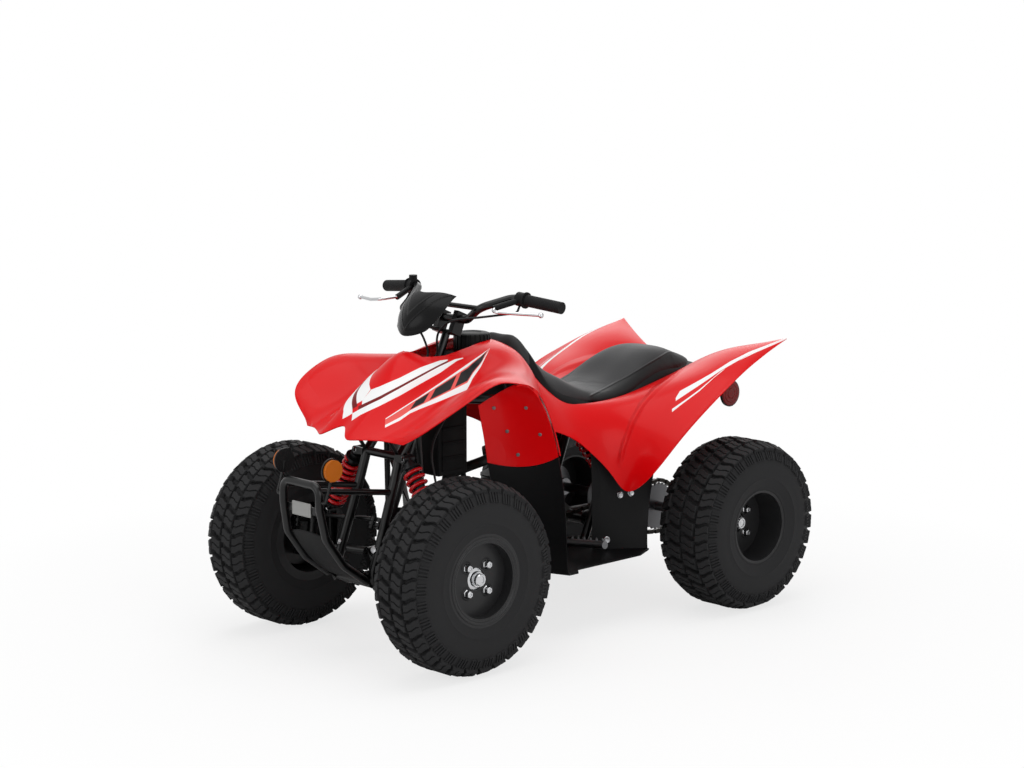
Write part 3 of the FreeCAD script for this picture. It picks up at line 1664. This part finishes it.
def grip():
    end = at(bar_shares[0])
    inner = toward(end, at(bar_shares[1]))
    start = moved(end, inner, -grip_end_wall - seat_gap)
    stop = moved(end, inner, grip_length)
    body = rod(start, stop, grip_radius)
    flange = rod(moved(stop, inner, -grip_flange_thickness), stop, grip_flange_radius)
    bore = rod(moved(end, inner, -seat_gap), moved(stop, inner, cut_overrun), bar_radius + seat_gap)
    return joined([body, flange]).cut(bore)


def clamp_base():
    return moved(at(bar_shares[-1]), steering_up, -clamp_height)


def clamps():
    centre = at(bar_shares[-1])
    base = clamp_base()
    blocks = []
    for sign in (-1, 1):
        corners = []
        middle = vec(base.x, sign * clamp_offset, base.z)
        for across, out in corners_of(clamp_depth / 2, clamp_half_width / 2):
            corners.append(moved(moved(middle, steering_ahead, across), along_y, out))
        blocks.append(plate(corners, clamp_height + bar_radius + clamp_wall, steering_up))
    bridge = []
    for across, out in corners_of(clamp_depth / 2, clamp_offset):
        bridge.append(moved(moved(base, steering_ahead, across), along_y, out))
    blocks.append(plate(bridge, clamp_wall, steering_up))
    place, normal = grid_point(shroud_shares, 1, 0, True)
    contact = moved(place, normal, -panel_wall - panel_gap)
    foot = moved(contact, normal, -post_length)
    blocks.append(rod(foot, contact, post_radius))
    front = moved(moved(base, steering_up, clamp_wall / 2), steering_ahead, clamp_depth / 2)
    blocks.append(rod(front, foot, post_radius))
    far_end = vec(centre.x, -clamp_span, centre.z)
    near_end = vec(centre.x, clamp_span, centre.z)
    return joined(blocks).cut(rod(far_end, near_end, bar_radius + seat_gap))


def blade(shares, gap):
    path = [at(point) for point in shares]
    path[0] = moved(path[0], toward(path[1], path[0]), gap)
    return bent_tube(path, lever_radius + gap, lever_bend)


def lever(shares):
    ball = Part.makeSphere(lever_ball_radius, at(shares[-1]))
    return joined([blade(shares, 0), ball])


def levers():
    left = lever(left_lever_shares)
    right = left_to_right(lever(right_lever_shares))
    return Part.makeCompound([left, right])


def bar_point(distance):
    end = at(bar_shares[0])
    return moved(end, toward(end, at(bar_shares[1])), distance)


def controls():
    inner_end = bar_point(grip_length + housing_length + cut_overrun)
    bore = rod(bar_point(-cut_overrun), inner_end, bar_radius + seat_gap)
    start = grip_length + seat_gap
    middle = bar_point(start + housing_length / 2)
    housing = rod(bar_point(start), bar_point(start + housing_length), housing_radius)
    shapes = []
    for lever_table in (left_lever_shares, right_lever_shares):
        root = at(lever_table[0])
        reach = toward(middle, root)
        arm = rod(middle, moved(root, reach, lever_radius), perch_radius)
        shapes.append(joined([housing, arm]).cut(blade(lever_table, seat_gap)))
    box = rod(middle, moved(middle, along_z, throttle_box_height), throttle_box_radius)
    left = shapes[0].cut(bore)
    right = joined([shapes[1], box]).cut(bore)
    return Part.makeCompound([left, left_to_right(right)])


def front_reflectors():
    place = at(front_reflector_shares)
    disc = rod(place, moved(place, along_y, reflector_thickness), reflector_radius)
    shell = rod(moved(place, along_y, -reflector_rim), place, reflector_radius + reflector_rim)
    path = [at(point) for point in reflector_stem_shares] + [moved(place, along_y, -reflector_rim / 2)]
    path[0].y = at(bumper_shares[3]).y + bumper_tube_radius + panel_gap
    stem = bent_tube(path, reflector_rim, cable_bend)
    return both_sides(joined([disc, shell, stem]))


def rear_reflectors():
    place = at(rear_reflector_shares)
    facing = toward(origin, at(rear_reflector_facing_shares))
    disc = rod(place, moved(place, facing, reflector_thickness), rear_reflector_radius)
    shell = rod(moved(place, facing, -reflector_rim), place, rear_reflector_radius + reflector_rim)
    skin_point, normal = grid_point(side_shares, 8, 2, False)
    contact = moved(skin_point, normal, -panel_wall - panel_gap)
    foot = moved(contact, normal, -post_length)
    stem = [rod(foot, contact, pedal_radius), rod(moved(place, facing, -reflector_rim / 2), foot, pedal_radius)]
    return both_sides(joined([disc, shell] + stem))


def lower_cable():
    path = [at(point) for point in lower_cable_shares]
    rail = at(upper_rail_shares[1])
    side = rail.y + frame_tube_radius + seat_gap + cable_radius
    start = vec(path[0].x, side, path[0].z)
    end = moved(arm_point(1, arm_cable_share), along_z, arm_tube_radius + panel_gap)
    return bent_tube([start] + path + [end], cable_radius, cable_bend)


def upper_cable():
    middle = bar_point(grip_length + seat_gap + housing_length / 2)
    along = toward(at(bar_shares[0]), at(bar_shares[1]))
    ahead = toward(origin, along_z.cross(along))
    down = toward(origin, moved(ahead, along_z, -cable_drop_share))
    start = moved(middle, down, housing_radius + panel_gap)
    path = [start, moved(start, down, cable_lead)] + [at(point) for point in upper_cable_shares]
    return bent_tube(path, cable_radius, cable_bend)


def body_panels():
    save(hood(), "hood")
    save(both_sides(panel(mudguard_rows(), panel_wall)), "mudguards")
    save(both_sides(panel(side_shares, panel_wall)), "rear_fenders")
    save(panel(tail_shares, panel_wall, True), "tail_cover")
    save(seat(), "seat")
    save(fuel_tank(), "fuel_tank")
    save(fuel_cap(), "fuel_cap")
    save(both_sides(footwell()), "footwells")
    save(front_reflectors(), "front_reflectors")
    save(rear_reflectors(), "rear_reflectors")


def chassis():
    save(frame(), "frame")
    save(bumper(), "bumper")
    save(skid_plate(), "skid_plate")
    save(both_sides(front_arm()), "front_arms")
    save(swingarm(), "swingarm")
    save(chain(), "chain")
    save(crankcase(), "crankcase")
    save(cylinder(), "cylinder")
    save(exhaust(), "exhaust")
    save(carburettor(), "carburettor")
    save(both_sides(footpeg()), "footpegs")
    save(pedals(), "pedals")
    save(both_sides(lower_cable()), "lower_cables")


def bar_group():
    save(handlebar(), "handlebar")
    save(clamps(), "bar_clamps")
    save(both_sides(grip()), "grips")
    save(levers(), "levers")
    save(controls(), "controls")
    save(panel(shroud_shares, panel_wall, True), "handlebar_cover")
    save(both_sides(upper_cable()), "upper_cables")


os.makedirs("parts", exist_ok=True)
front_wheels()
rear_wheels()
steering_gear()
chassis()
shocks()
body_panels()
bar_group()
